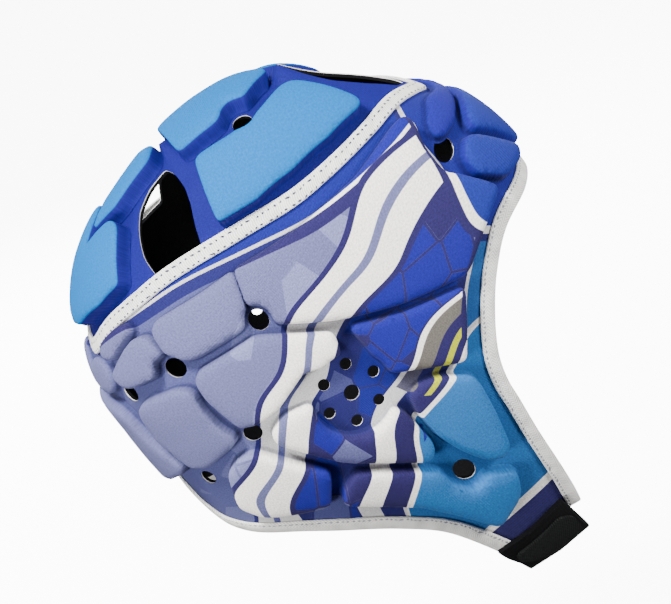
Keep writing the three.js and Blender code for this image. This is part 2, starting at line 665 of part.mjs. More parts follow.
function pad(pattern, foam, corners, steps, clear) {
  const outline = roundCorners(counterclockwise(corners), padCorner);
  let solid = foam.intersect(block(pattern, outline, steps));
  for (const other of clear) solid = solid.subtract(other);
  return toGeometry(solid);
}

for (const [name, half] of Object.entries(crownMiddlePads)) {
  const corners = mirrored(half).map(onCrown);
  addPiece(name, pad(crownPattern, crownFoam, corners, crownSteps, crownClear), crownCyan);
}
const sideCorners = crownSidePad.map(onCrown);
const crownPad = pad(crownPattern, crownFoam, sideCorners, crownSteps, crownClear);
addPair('crown_pad', crownPad, crownCyan);

const rightHalf = new THREE.BoxGeometry(far, 2 * far, 2 * far);
rightHalf.translate(-far / 2, 0, 0);
const rightSide = toManifold(rightHalf);
for (const [name, half] of Object.entries(bandMiddlePads)) {
  const corners = roundCorners(mirrored(half).map(onCrown), padCorner).map(crownToSide);
  const right = sideFoam.intersect(block(sidePattern, corners, padSteps)).intersect(rightSide);
  const left = toManifold(toLeft(toGeometry(right)));
  addPiece(name, toGeometry(right.add(left)), name.startsWith('nape') ? lavender : cheekCyan);
}

const cyanPads = ['brow_pad', 'cheekbone_pad', 'cheek_pad', 'jaw_pad_front'];
const navyPads = ['ear_pad', 'jaw_pad_rear'];
for (const [name, corners] of Object.entries(sidePads)) {
  let color = lavender;
  if (cyanPads.includes(name)) color = cheekCyan;
  if (navyPads.includes(name)) color = navy;
  addPair(name, pad(sidePattern, sideFoam, corners.map(onSide), padSteps, sideClear), color);
}

export default cap;
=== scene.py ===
import math

import bmesh
import bpy
import numpy as np
from mathutils import Matrix, Vector, noise


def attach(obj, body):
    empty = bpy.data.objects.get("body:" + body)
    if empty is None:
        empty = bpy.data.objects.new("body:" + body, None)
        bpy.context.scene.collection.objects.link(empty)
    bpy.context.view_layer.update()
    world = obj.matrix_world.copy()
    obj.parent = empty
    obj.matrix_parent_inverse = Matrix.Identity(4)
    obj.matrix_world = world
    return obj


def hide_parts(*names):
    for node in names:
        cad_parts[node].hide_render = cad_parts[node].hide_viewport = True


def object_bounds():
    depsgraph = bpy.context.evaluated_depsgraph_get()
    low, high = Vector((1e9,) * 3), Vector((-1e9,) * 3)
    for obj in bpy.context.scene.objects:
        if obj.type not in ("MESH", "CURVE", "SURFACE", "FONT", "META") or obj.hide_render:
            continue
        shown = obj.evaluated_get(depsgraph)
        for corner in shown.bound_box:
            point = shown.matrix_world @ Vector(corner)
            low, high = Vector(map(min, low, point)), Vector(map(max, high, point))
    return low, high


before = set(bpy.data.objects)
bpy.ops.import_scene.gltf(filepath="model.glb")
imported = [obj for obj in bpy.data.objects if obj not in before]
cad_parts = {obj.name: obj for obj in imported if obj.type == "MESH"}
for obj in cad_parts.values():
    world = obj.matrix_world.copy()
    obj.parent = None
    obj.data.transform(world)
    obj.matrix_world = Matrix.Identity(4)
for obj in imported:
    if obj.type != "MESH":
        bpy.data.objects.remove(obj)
solid_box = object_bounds()
mm = 0.001

# Camera. The picture is taken with a long lens from the wearer's right, a little behind and above
# the ears, and the cap leans in it. The ear and its pixel fix where the camera stands.
picture_width, picture_height = 671, 604
camera_azimuth, camera_elevation = math.radians(262), math.radians(16)
camera_roll = math.radians(18)
camera_distance = 1.5
focal_pixels = 3225
ear_pixel = (353.5, 394.5)
crown_seat = 130.475 * mm  # from the line through the ears up to the frame's origin
ear = Vector((-84 * mm, 0, -crown_seat))

back = Vector((
    math.sin(camera_azimuth) * math.cos(camera_elevation),
    -math.cos(camera_azimuth) * math.cos(camera_elevation),
    math.sin(camera_elevation),
))
level_right = (-back).cross(Vector((0, 0, 1))).normalized()
level_up = level_right.cross(-back)
right = math.cos(camera_roll) * level_right - math.sin(camera_roll) * level_up
up = math.sin(camera_roll) * level_right + math.cos(camera_roll) * level_up
ear_right = (ear_pixel[0] - picture_width / 2) / focal_pixels * camera_distance
ear_down = (ear_pixel[1] - picture_height / 2) / focal_pixels * camera_distance
place = ear + back * camera_distance - right * ear_right + up * ear_down

camera_data = bpy.data.cameras.new("camera")
camera_data.sensor_fit = "HORIZONTAL"
camera_data.sensor_width = 36
camera_data.lens = focal_pixels / picture_width * camera_data.sensor_width
camera_data.clip_start = 0.05
camera = bpy.data.objects.new("camera", camera_data)
camera.matrix_world = Matrix.Translation(place) @ Matrix((right, up, back)).transposed().to_4x4()
bpy.context.scene.collection.objects.link(camera)
bpy.context.scene.camera = camera


# Light. A soft key from above and behind the cap, one lamp that rakes it from the front, one for
# the nape and one without gloss for the far side, in a white room that is dim below, so that the
# grooves and the undersides of the pads turn dark.
def area_light(name, position, size, power):
    data = bpy.data.lights.new(name, "AREA")
    data.shape = "DISK"
    data.size = size
    data.energy = power
    lamp = bpy.data.objects.new(name, data)
    aim = Vector(cap_middle) - Vector(position)
    turn = aim.to_track_quat("-Z", "Y").to_matrix().to_4x4()
    lamp.matrix_world = Matrix.Translation(position) @ turn
    bpy.context.scene.collection.objects.link(lamp)
    return lamp


cap_middle = (0, 0, -0.1)
area_light("key", (-0.75, 0.72, 1.3), 0.45, 83)
area_light("front", (-0.85, -1.3, 0.45), 0.55, 38)
area_light("nape", (-1.1, 1.3, -0.25), 0.6, 46)
far_lamp = area_light("far_side", (1.4, 0.2, 0.35), 0.8, 36)
far_lamp.visible_glossy = False

room = bpy.data.worlds.new("room")
room.use_nodes = True
room_nodes, room_links = room.node_tree.nodes, room.node_tree.links
direction = room_nodes.new("ShaderNodeTexCoord")
parts = room_nodes.new("ShaderNodeSeparateXYZ")
glow = room_nodes.new("ShaderNodeMapRange")  # white of strength 0.1 below, 0.45 above
for name, value in (("From Min", -0.6), ("From Max", 0.7), ("To Min", 0.1), ("To Max", 0.45)):
    glow.inputs[name].default_value = value
room_links.new(direction.outputs["Generated"], parts.inputs["Vector"])
room_links.new(parts.outputs["Z"], glow.inputs["Value"])
room_links.new(glow.outputs["Result"], room_nodes["Background"].inputs["Strength"])
room_nodes["Background"].inputs["Color"].default_value = (1, 1, 1, 1)
bpy.context.scene.world = room


# Side cloth. Thin printed knit laminated to a black mesh lining, one panel for each side of the
# head, cut with punched holes in the grooves and at the ear. All of it is laid on one head form.
head_reach = 130 * mm
half_width = 80 * mm
roundness = 2.35
back_spread, jaw_taper = 0.05, 0.22
spread_length, taper_depth = 70 * mm, 100 * mm
pattern_unit = 100 * mm
degree_length = 2.2 * mm
cloth_thick = 2 * mm
middle_turn = pattern_unit * math.pi / 2
head_profile = np.array([
    1.069, 1.046, 1.062, 1.077, 1.064, 1.046, 1.019, 0.969, 0.927, 0.908, 0.865, 0.804,
    0.719, 0.681, 0.692, 0.723, 0.762, 0.85, 0.962, 1.1, 1.215, 1.277, 1.215, 1.123,
])


def head_point(deg, turn):
    """Points of the cloth's outer face, at angles over the head and turns out from the middle."""
    rows = len(head_profile)
    place = np.mod(deg, 360) / (360 / rows)
    i = np.floor(place).astype(int)
    t = place - i
    a, b, c, d = (head_profile[(i + k) % rows] for k in (-1, 0, 1, 2))
    reach = head_reach * (
        b + 0.5 * t * (c - a + t * (2 * a - 5 * b + 4 * c - d + t * (3 * (b - c) + d - a)))
    )
    across, along = np.sin(turn), np.cos(turn)
    far = (np.abs(across / half_width) ** roundness + np.abs(along / reach) ** roundness) ** (
        -1 / roundness
    )
    angle = np.radians(deg)
    y = -far * along * np.cos(angle)
    z = far * along * np.sin(angle)
    depth = np.clip(-z / taper_depth, 0, None)
    spread = 1 + back_spread * np.tanh(y / spread_length) - jaw_taper * depth**1.5
    return np.stack([-far * across * spread, y, z - crown_seat], axis=-1)


def side_pattern(fore, rise):
    from_ear = np.hypot(fore, rise)
    return head_point(np.degrees(np.arctan2(rise, fore)), (middle_turn - from_ear) / pattern_unit)


def crown_pattern(along, out):
    return head_point(along / degree_length, out / pattern_unit)


def lay(pattern, u, v, height):
    """Points of a flat pattern laid on the head, at heights above its cloth."""
    e = 0.01 * mm
    normal = np.cross(pattern(u + e, v) - pattern(u - e, v), pattern(u, v + e) - pattern(u, v - e))
    normal /= np.linalg.norm(normal, axis=-1, keepdims=True)
    return pattern(u, v) + normal * np.asarray(height)[..., None]


def on_side(corners):
    return np.array(corners, float) * pattern_unit


def on_crown(corners):
    return np.array(corners, float) * (degree_length, pattern_unit)


def crown_to_side(points):
    """The same places on the side pattern, with both halves of the crown folded onto the right."""
    from_ear = middle_turn - np.abs(points[:, 1])
    turn = np.radians(points[:, 0] / degree_length)
    return np.stack([from_ear * np.cos(turn), from_ear * np.sin(turn)], axis=1)


def resample(points, step, closed):
    """The same line with evenly spaced points."""
    line = np.vstack([points, points[:1]]) if closed else points
    lengths = np.r_[0, np.cumsum(np.linalg.norm(np.diff(line, axis=0), axis=1))]
    count = max(4, int(round(lengths[-1] / step)))
    marks = np.linspace(0, lengths[-1], count + 1)
    even = np.stack([np.interp(marks, lengths, line[:, k]) for k in range(line.shape[1])], axis=1)
    return even[:-1] if closed else even


def curve_through(points, step, closed):
    """A smooth line through the points."""
    p = np.asarray(points, float)
    count = len(p)
    pieces = []
    for i in range(count if closed else count - 1):
        if closed:
            q = [p[(i + k) % count] for k in (-1, 0, 1, 2)]
        else:
            q = [p[min(max(i + k, 0), count - 1)] for k in (-1, 0, 1, 2)]
            q[0] = 2 * q[1] - q[2] if i == 0 else q[0]
            q[3] = 2 * q[2] - q[1] if i == count - 2 else q[3]
        knots = [0.0]
        for k in range(3):
            knots.append(knots[-1] + max(np.linalg.norm(q[k + 1] - q[k]), 1e-9) ** 0.5)
        t = np.linspace(knots[1], knots[2], 24, endpoint=False)[:, None]
        a = [q[k] + (q[k + 1] - q[k]) * (t - knots[k]) / (knots[k + 1] - knots[k])
             for k in range(3)]
        b = [a[k] + (a[k + 1] - a[k]) * (t - knots[k]) / (knots[k + 2] - knots[k])
             for k in range(2)]
        pieces.append(b[0] + (b[1] - b[0]) * (t - knots[1]) / (knots[2] - knots[1]))
    line = np.vstack(pieces + ([] if closed else [p[-1:]]))
    return resample(line, step, closed)


def inward(points):
    """Unit vectors into a closed line, which runs anticlockwise."""
    run = np.roll(points, -1, axis=0) - np.roll(points, 1, axis=0)
    run /= np.linalg.norm(run, axis=1, keepdims=True)
    return np.stack([-run[:, 1], run[:, 0]], axis=1)


def anticlockwise(points):
    x, y = points[:, 0], points[:, 1]
    turning = np.sum(x * np.roll(y, -1) - np.roll(x, -1) * y)
    return points if turning > 0 else points[::-1]


def soften(points, passes):
    for _ in range(passes):
        points = (np.roll(points, 1, axis=0) + 2 * points + np.roll(points, -1, axis=0)) / 4
    return points


def distance_to(points, line):
    """Distance of points from a line's own points."""
    return np.min(np.linalg.norm(points[:, None, :] - line[None, :, :], axis=2), axis=1)


def circle(centre, diameter, count=28):
    turn = np.linspace(0, math.tau, count, endpoint=False)
    return np.array(centre) + diameter / 2 * np.stack([np.cos(turn), np.sin(turn)], axis=1)


def cut_flat(loops, step, thick, top, side_slot=2):
    """A flat sheet inside the first loop and outside the others, with a wall all round."""
    bm = bmesh.new()
    for loop in loops:
        verts = [bm.verts.new((x, y, top)) for x, y in loop]
        for i, vert in enumerate(verts):
            bm.edges.new((vert, verts[(i + 1) % len(verts)]))
    bmesh.ops.triangle_fill(bm, use_beauty=True, use_dissolve=False, edges=bm.edges[:])
    bmesh.ops.recalc_face_normals(bm, faces=bm.faces[:])
    if bm.faces[0].normal.z < 0:
        bmesh.ops.reverse_faces(bm, faces=bm.faces[:])
    upper = bm.faces[:]
    made = bmesh.ops.extrude_face_region(bm, geom=upper, use_keep_orig=True)
    lower = [v for v in made["geom"] if isinstance(v, bmesh.types.BMVert)]
    bmesh.ops.translate(bm, verts=lower, vec=(0, 0, -thick))
    bm.normal_update()
    lower_faces = {f for f in made["geom"] if isinstance(f, bmesh.types.BMFace)}
    for face in bm.faces:
        face.material_index = side_slot
    for face in upper:
        face.material_index = 0
    for face in lower_faces:
        face.material_index = 1
    bmesh.ops.recalc_face_normals(bm, faces=bm.faces[:])
    lattice(bm, step)
    return bm


def lattice(bm, step):
    """Cuts a flat sheet along even lines, so that it can bend over the head."""
    xy = np.array([v.co[:2] for v in bm.verts])
    for axis in (0, 1):
        low, high = xy[:, axis].min(), xy[:, axis].max()
        for mark in np.arange(low + step * 0.37, high, step):
            spot = [0, 0, 0]
            spot[axis] = mark
            direction = [0, 0, 0]
            direction[axis] = 1
            bmesh.ops.bisect_plane(bm, geom=bm.verts[:] + bm.edges[:] + bm.faces[:],
                                   dist=1e-7, plane_co=spot, plane_no=direction)
    bmesh.ops.triangulate(bm, faces=bm.faces[:])


def dress(bm, name, pattern, finishes, node, mirror=False, lift=0):
    """Lays a flat piece on the head, notes where it was on its pattern, and makes it an object."""
    flat = np.array([v.co[:] for v in bm.verts])
    on_head = lay(pattern, flat[:, 0], flat[:, 1], flat[:, 2] + lift)
    side = flat[:, :2] if pattern is side_pattern else crown_to_side(flat[:, :2])
    if mirror:
        on_head[:, 0] *= -1
    for vert, co in zip(bm.verts, on_head):
        vert.co = co
    bm.verts.index_update()
    cloth = bm.loops.layers.uv.new("cloth")
    own = bm.loops.layers.uv.new("own")
    height = bm.verts.layers.float.new("height")
    for vert in bm.verts:
        vert[height] = flat[vert.index, 2] / mm
    for trim, line in (("from_seam", seam_side), ("from_face", face_path)):
        layer = bm.verts.layers.float.new(trim)
        for vert, away in zip(bm.verts, distance_to(side, line) / mm):
            vert[layer] = away
    for face in bm.faces:
        for loop in face.loops:
            loop[cloth].uv = side[loop.vert.index]
            loop[own].uv = flat[loop.vert.index, :2]
        face.smooth = True
    if mirror:
        bmesh.ops.reverse_faces(bm, faces=bm.faces[:])
    mesh = bpy.data.meshes.new(name)
    bm.to_mesh(mesh)
    bm.free()
    mesh.set_sharp_from_angle(angle=math.radians(50))
    piece = bpy.data.objects.new(name, mesh)
    for finish in finishes:
        mesh.materials.append(finish)
    bpy.context.scene.collection.objects.link(piece)
    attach(piece, "root")
    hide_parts(node)
    return piece


def flat_area(bm):
    return sum(f.calc_area() for f in bm.faces if f.material_index == 0)


class Link:
    """A number, colour or vector on its way through the nodes of one material."""

    def __init__(self, finish, socket):
        self.finish = finish
        self.socket = socket

    def math(self, operation, *values):
        return self.finish.calculate(operation, self, *values)

    def __add__(self, other):
        return self.math("ADD", other)

    def __radd__(self, other):
        return self.math("ADD", other)

    def __sub__(self, other):
        return self.math("SUBTRACT", other)

    def __rsub__(self, other):
        return self.finish.calculate("SUBTRACT", other, self)

    def __mul__(self, other):
        return self.math("MULTIPLY", other)

    def __rmul__(self, other):
        return self.math("MULTIPLY", other)

    def __truediv__(self, other):
        return self.math("DIVIDE", other)

    def __rtruediv__(self, other):
        return self.finish.calculate("DIVIDE", other, self)

    def __pow__(self, other):
        return self.math("POWER", other)

    def __abs__(self):
        return self.math("ABSOLUTE")

    def above(self, edge, soft):
        """0 below the edge and 1 above it, over a soft border."""
        low, high = edge - soft / 2, edge + soft / 2
        ramp = self.finish.node("ShaderNodeMapRange", {"interpolation_type": "SMOOTHSTEP"},
                                {"Value": self, "From Min": low, "From Max": high})
        return ramp["Result"]

    def between(self, low, high, soft):
        return self.above(low, soft) * (1 - self.above(high, soft))

    def mix(self, other, share):
        """This colour, with a share of another one."""
        factor, first, second, result = 0, 6, 7, 2  # the colour sockets of a Mix node
        blend = self.finish.node("ShaderNodeMix", {"data_type": "RGBA"},
                                 {factor: share, first: self, second: other})
        return blend[result]


class Node:
    """One node of a material, whose outputs are read by name or by number."""

    def __init__(self, finish, node):
        self.finish = finish
        self.node = node

    def __getitem__(self, name):
        return Link(self.finish, self.node.outputs[name])


class Finish:
    """A material that is written as sums."""

    def __init__(self, name, roughness, sheen=0.0, sheen_tint=(1, 1, 1)):
        self.material = bpy.data.materials.new(name)
        self.material.use_nodes = True
        self.tree = self.material.node_tree
        self.shader = self.tree.nodes["Principled BSDF"]
        self.set("Roughness", roughness)
        self.set("Specular IOR Level", 0.06)
        if sheen:
            self.set("Sheen Weight", sheen)
            self.set("Sheen Roughness", 0.5)
            self.set("Sheen Tint", sheen_tint)

    def node(self, kind, settings, values):
        """Any node, by its type, its settings and the values or links of its sockets."""
        made = self.tree.nodes.new(kind)
        for key, value in settings.items():
            setattr(made, key, value)
        pairs = values.items() if isinstance(values, dict) else enumerate(values)
        for key, value in pairs:
            self.feed(made.inputs[key], value)
        return Node(self, made)

    def calculate(self, operation, *values):
        return self.node("ShaderNodeMath", {"operation": operation}, values)["Value"]

    def feed(self, socket, value):
        if isinstance(value, Link):
            self.tree.links.new(value.socket, socket)
        elif socket.type == "RGBA":
            socket.default_value = (*value, 1)
        else:
            socket.default_value = value

    def set(self, name, value):
        self.feed(self.shader.inputs[name], value)

    def colour(self, rgb):
        """A plain colour as the start of a mix."""
        made = self.tree.nodes.new("ShaderNodeRGB")
        made.outputs[0].default_value = (*rgb, 1)
        return Link(self, made.outputs[0])

    def bump(self, height, strength, distance):
        bumped = self.node("ShaderNodeBump", {}, {"Strength": strength, "Distance": distance,
                                                   "Height": height})
        self.set("Normal", bumped["Normal"])

    def flat_place(self, uv_map):
        """A place on the flat cloth as a vector, and its two coordinates in millimetres."""
        place = self.node("ShaderNodeUVMap", {"uv_map": uv_map}, {})["UV"]
        parts = self.node("ShaderNodeSeparateXYZ", {}, (place,))
        return place, parts["X"] / mm, parts["Y"] / mm

    def noted(self, name):
        """A number that dress() noted at each point of a piece, in millimetres."""
        return self.node("ShaderNodeAttribute", {"attribute_name": name}, {})["Fac"]

    def cloudy(self, place, scale, detail):
        """Soft random clouds from 0 to 1."""
        return self.node("ShaderNodeTexNoise", {"noise_dimensions": "2D"},
                         {"Vector": place, "Scale": scale, "Detail": detail})["Fac"]

    def speckle(self, colour, place, share):
        """The colour with the fine light and dark specks of a knit's stitches."""
        value = (self.cloudy(place, 1 / (0.9 * mm), 2.0) - 0.5) * (share * 4) + 1
        return self.node("ShaderNodeHueSaturation", {}, {"Value": value, "Color": colour})["Color"]

    def knit(self, across, along, wale, depth):
        """The ribs and stitches of a fine knit, a bump on the cloth."""
        ribs = (across * (math.tau / wale)).math("SINE")
        stitches = (along * (math.tau / wale) + ribs * 0.8).math("SINE")
        self.bump(ribs * 0.5 + stitches * 0.5, 0.5, depth)


lavender = (0.106, 0.11, 0.232)
navy = (0.020, 0.015, 0.075)
off_white = (0.90, 0.87, 0.81)
royal = (0.012, 0.012, 0.19)
cheek_cyan = (0.021, 0.122, 0.335)
accent = (0.38, 0.40, 0.01)
grey = (0.115, 0.105, 0.092)
black = (0.005, 0.005, 0.006)
# painted shade for the grooves between the pads and the foot of their walls
groove_shade_blue, groove_shade_dark = (0.01, 0.018, 0.16), (0.006, 0.006, 0.03)
pale_lavender, deep_lavender = (0.16, 0.168, 0.33), (0.085, 0.088, 0.21)


def printed_knit():
    """Crystal facets in four fields of colour, with waved white and navy lines between them. The
    lines run round a place on the cheek, and the forehead has a field of its own."""
    finish = Finish("printed_knit", roughness=0.72, sheen=0.05, sheen_tint=(0.7, 0.75, 1))
    place, fore, rise = finish.flat_place("cloth")
    wave = (finish.cloudy(place, 15.0, 1.0) - 0.5) * 22
    x, y = fore + wave, rise + wave * 0.6
    ripple = ((x + y * 2) * (1 / 19)).math("SINE") * 3

    def away_from(middle):
        return ((x - middle[0]) ** 2 + (y - middle[1]) ** 2) ** 0.5

    cheek = away_from((122, -96)) + ripple
    brow = away_from((132, 96))
    height, seam, face = (finish.noted(n) for n in ("height", "from_seam", "from_face"))
    crisp, facet_soft = 0.35, 0.02  # widths of the borders between the inks

    def within(distance, edge):
        return 1 - distance.above(edge, crisp)

    def facets(size):
        """A random number for each facet of a crystal, and 0 along the facets' borders."""
        scale = {"Vector": place, "Scale": 1 / (size * mm), "Randomness": 1.0}
        cells = finish.node("ShaderNodeTexVoronoi", {"voronoi_dimensions": "2D"}, scale)
        borders = finish.node("ShaderNodeTexVoronoi",
                              {"voronoi_dimensions": "2D", "feature": "DISTANCE_TO_EDGE"}, scale)
        tone = finish.node("ShaderNodeSeparateColor", {}, {"Color": cells["Color"]})
        return tone["Red"] * (borders["Distance"] * size).above(0.6, 0.3)

    large, small = facets(19), facets(11)
    pale_share = large - (cheek - 200) * 0.012  # the pale facets thin out towards the nape
    colour = finish.colour(lavender)
    colour = colour.mix(pale_lavender, pale_share.above(0.5, facet_soft))

    trim = seam - (fore * 0.06 + 10)  # the trim beside the tape is wider at the forehead
    for edge, ink in ((5, navy), (0, off_white), (-1.4, royal)):
        colour = colour.mix(ink, within(trim, edge))

    for edge, ink in ((203, navy), (200, off_white)):
        colour = colour.mix(ink, within(cheek, edge))
    colour = colour.mix(lavender, cheek.between(186, 190, crisp))
    colour = colour.mix(navy, within(cheek, 174))
    crystals = cheek.between(137, 171, crisp)
    colour = colour.mix(royal, large.above(0.5, facet_soft) * crystals)
    colour = colour.mix(deep_lavender, large.between(0.3, 0.42, facet_soft) * crystals)
    colour = colour.mix(off_white, within(cheek, 136))
    colour = colour.mix(grey, within(cheek, 133) * (x * 0.6 + y).above(6, crisp))
    colour = colour.mix(navy, within(cheek, 125))
    accent_part = (y + x * 0.2).above(-6, crisp)
    colour = colour.mix(accent, cheek.between(116.5, 119.5, crisp) * accent_part)
    for edge, ink in ((113, off_white), (110, cheek_cyan)):
        colour = colour.mix(ink, within(cheek, edge))
    shards = (small + (cheek - 110) * 0.02).above(0.72, facet_soft)
    colour = colour.mix(royal, shards * within(cheek, 107))

    face_trim = face - 15 + wave * 0.3
    beside_face = cheek.above(113, crisp) * rise.above(-60, 1)
    for edge, ink in ((4.5, navy), (0, off_white), (-1.6, cheek_cyan)):
        colour = colour.mix(ink, within(face_trim, edge) * beside_face)
    flap_end = x * 0.62 - y
    for edge, ink in ((124, off_white), (128, navy)):
        colour = colour.mix(ink, flap_end.above(edge, crisp))
    for edge, ink in ((67, navy), (64, off_white), (61, royal)):
        colour = colour.mix(ink, within(brow, edge))
    colour = colour.mix(cheek_cyan, height.above(6.2, 2) * within(brow, 61) * 0.1)

    # Painted shade: the grooves and the low walls of the pads are darkened by their height, most
    # of all behind the cheek.
    groove_shade_strength = cheek.above(111, 2) * 0.6 + 0.4  # the painted shade in the grooves is stronger there
    colour = colour.mix(groove_shade_blue, (1 - height.above(3.4, 3.4)) * groove_shade_strength * 0.33)
    colour = colour.mix(groove_shade_dark, height.between(0.15, 2.6, 1.2) * groove_shade_strength * 0.5)
    finish.set("Base Color", finish.speckle(colour, place, 0.2))
    finish.knit(fore + rise * 0.6, rise - fore * 0.6, 1.2, 0.14 * mm)
    return finish.material


def plain_knit(name, rgb, roughness=0.7):
    finish = Finish(name, roughness=roughness, sheen=0.05, sheen_tint=rgb)
    place, fore, rise = finish.flat_place("cloth")
    dark = tuple(c * 0.8 for c in rgb)
    colour = finish.colour(dark).mix(rgb, finish.cloudy(place, 60.0, 3.0))
    finish.set("Base Color", finish.speckle(colour, place, 0.2))
    finish.knit(fore, rise, 0.9, 0.1 * mm)
    return finish.material


def cut_through():
    """The cut edge of the cloth: a thin pale line of knit over the black lining."""
    finish = Finish("cut_edge", roughness=0.85)
    knit_line = finish.noted("height").above(-0.4, 0.25)
    finish.set("Base Color", finish.colour(black).mix(off_white, knit_line))
    place, fore, rise = finish.flat_place("cloth")
    finish.knit(fore, rise, 0.9, 0.1 * mm)
    return finish.material


print_cloth = printed_knit()
black_lining = plain_knit("black_mesh_lining", black, 0.85)
cut_edge = cut_through()

seam_rows = [
    (51, 0), (53, 0.09), (59, 0.24), (64.6, 0.374), (72, 0.483), (81.6, 0.567),
    (91.7, 0.606), (110.3, 0.589), (128.7, 0.492), (139.8, 0.395), (148.5, 0.26), (155, 0.12),
    (157, 0),
]


def both_halves(half):
    return [*half, *((deg, -out) for deg, out in reversed(half) if out > 0)]


seam_line = anticlockwise(curve_through(on_crown(both_halves(seam_rows)), 2 * mm, True))
seam_gap = 0.15 * mm
seam_outside = seam_line - inward(seam_line) * seam_gap
seam_side = crown_to_side(seam_outside[seam_outside[:, 1] > seam_gap])
seam_side = seam_side[np.argsort(-np.arctan2(seam_side[:, 1], seam_side[:, 0]))]

face_edge = [(0.86, -0.94), (0.837, -0.791), (0.815, -0.589), (0.802, -0.375), (0.793, -0.278),
             (0.797, -0.128), (0.834, 0.057), (0.908, 0.282), (1, 0.427), (1.19, 0.527)]
neck_edge = [(0.523, -1.17), (0.477, -1.103), (0.275, -0.939), (0.06, -0.869), (-0.235, -0.815),
             (-0.556, -0.793), (-0.848, -0.823), (-1, -0.835), (-1.17, -0.775), (-1.31, -0.7)]
face_edge_middle, neck_edge_middle = 24.2, 208
side_holes = [(-0.347, 0.547), (0.815, 0.856), (-0.832, 0.41), (-1.186, 0.304),
              (-0.602, -0.045), (-0.982, -0.343), (0.446, -0.641)]
vent_diameter = 10.5 * mm
ear_hole_diameters = (9.5 * mm, 7 * mm)
ear_ring_radius, ear_ring_turn = 17.5 * mm, 24


def middle_place(deg, back=seam_gap):
    turn = math.radians(deg)
    return np.array([(middle_turn - back) * math.cos(turn), (middle_turn - back) * math.sin(turn)])


def edge_path(rows, middle_deg):
    return curve_through(np.vstack([on_side(rows), middle_place(middle_deg, 0)]), 2 * mm, False)


def beside(pattern, path, across, closed=False):
    """A line beside another, at a true distance on the cloth to the left of it."""
    if closed:
        run = np.roll(path, -1, axis=0) - np.roll(path, 1, axis=0)
    else:
        run = np.gradient(path, axis=0)
        if pattern is side_pattern and abs(np.linalg.norm(path[-1]) - middle_turn) < mm:
            run[-1] = path[-1]
    run /= np.linalg.norm(run, axis=1, keepdims=True)
    left = np.stack([-run[:, 1], run[:, 0]], axis=1)
    e = 0.5 * mm
    one, two = path + left * e, path - left * e
    scale = np.linalg.norm(pattern(one[:, 0], one[:, 1]) - pattern(two[:, 0], two[:, 1]), axis=1)
    return path + left * (across / scale * 2 * e)[:, None]


face_path = edge_path(face_edge, face_edge_middle)
neck_path = edge_path(neck_edge, neck_edge_middle)
edge_back = 1.3 * mm


def up_to_middle(path):
    size = np.linalg.norm(path, axis=1, keepdims=True)
    return path * np.minimum(1, (middle_turn - seam_gap) / size)


inside_face = up_to_middle(beside(side_pattern, face_path, edge_back))
inside_neck = up_to_middle(beside(side_pattern, neck_path, -edge_back))
forehead_arc = [middle_place(d) for d in np.arange(face_edge_middle + 2, 50, 2)]
nape_arc = [middle_place(d) for d in np.arange(158.5, neck_edge_middle - 2, 2)]
side_outline = np.vstack([seam_side[::-1], nape_arc, inside_neck[::-1], inside_face, forehead_arc])
side_outline = anticlockwise(side_outline)

ear_places = [(0, 0)] + [
    (ear_ring_radius * math.cos(math.radians(ear_ring_turn + 60 * i)),
     ear_ring_radius * math.sin(math.radians(ear_ring_turn + 60 * i))) for i in range(6)
]
ear_loops = [circle(p, ear_hole_diameters[0 if i == 0 else 1]) for i, p in enumerate(ear_places)]
vent_loops = [circle(p, vent_diameter) for p in on_side(side_holes)]

for side, mirror in (("right", False), ("left", True)):
    bm = cut_flat([side_outline, *vent_loops, *ear_loops], 4 * mm, cloth_thick, 0)
    side_area = flat_area(bm)
    dress(bm, f"side_cloth_{side}", side_pattern,
                              [print_cloth, black_lining, cut_edge], f"side_panel_{side}", mirror)

# Crown cloth. Royal blue knit inside the taped seam, with a leaf-shaped opening over the forehead,
# a vent on each side at the back and two small round holes. It is stretched over the head, pulled
# up a little along the leaf's rim and pinched up between two pads.
crown_hole = (91.2, 0.225)
crown_hole_diameter = 10 * mm
leaf_half = [(79.8, 0), (76, 0.055), (70, 0.1), (63, 0.115), (56.2, 0.09), (54, 0)]
back_vent = [(110.4, 0.115), (109.4, 0.2), (109.6, 0.3), (111.2, 0.38), (113.7, 0.45),
             (116.6, 0.54), (131.5, 0.49), (128.8, 0.35), (125, 0.25), (121, 0.16), (116, 0.115)]

crown_blue = (0.011, 0.011, 0.15)
crown_royal = plain_knit("crown_royal_knit", crown_blue)
rim_rise, rim_reach = 9 * mm, 7 * mm
rim_start, rim_top, rim_end = 64, 79, 82  # degrees over the head where the leaf's rim is pulled up
fold_rise, fold_deg = 7 * mm, 106.9  # a pinch between the first two pads of the midline
fold_reach = (3.2 * mm, 9 * mm)


def rounded(corners, passes):
    return soften(resample(anticlockwise(corners), 1 * mm, True), passes)


crown_loops = [
    seam_line + inward(seam_line) * seam_gap,
    rounded(on_crown(both_halves(leaf_half)), 3),
    rounded(on_crown(back_vent), 6),
    rounded(on_crown([(deg, -out) for deg, out in back_vent]), 6),
    circle(on_crown([crown_hole])[0], crown_hole_diameter),
    circle(on_crown([(crown_hole[0], -crown_hole[1])])[0], crown_hole_diameter),
]
bm = cut_flat(crown_loops, 3 * mm, cloth_thick, 0)
crown_area = flat_area(bm)
crown_flat = np.array([v.co[:2] for v in bm.verts])
crown_deg = crown_flat[:, 0] / degree_length
from_leaf = distance_to(crown_flat, resample(crown_loops[1], 1 * mm, True))
pulled_up = np.clip((crown_deg - rim_start) / (rim_top - rim_start), 0, 1) ** 2.6
held_down = np.clip((rim_end - crown_deg) / 1.5, 0, 1)
rim_lift = rim_rise * pulled_up * held_down * np.exp(-(from_leaf / rim_reach) ** 2)
fold = np.hypot((crown_deg - fold_deg) * degree_length / fold_reach[0],
                crown_flat[:, 1] / fold_reach[1])
fold_lift = fold_rise * np.exp(-fold ** 2)
crown_cloth = dress(bm, "crown_cloth", crown_pattern, [crown_royal, black_lining, cut_edge],
                    "crown_panel", lift=rim_lift + fold_lift)

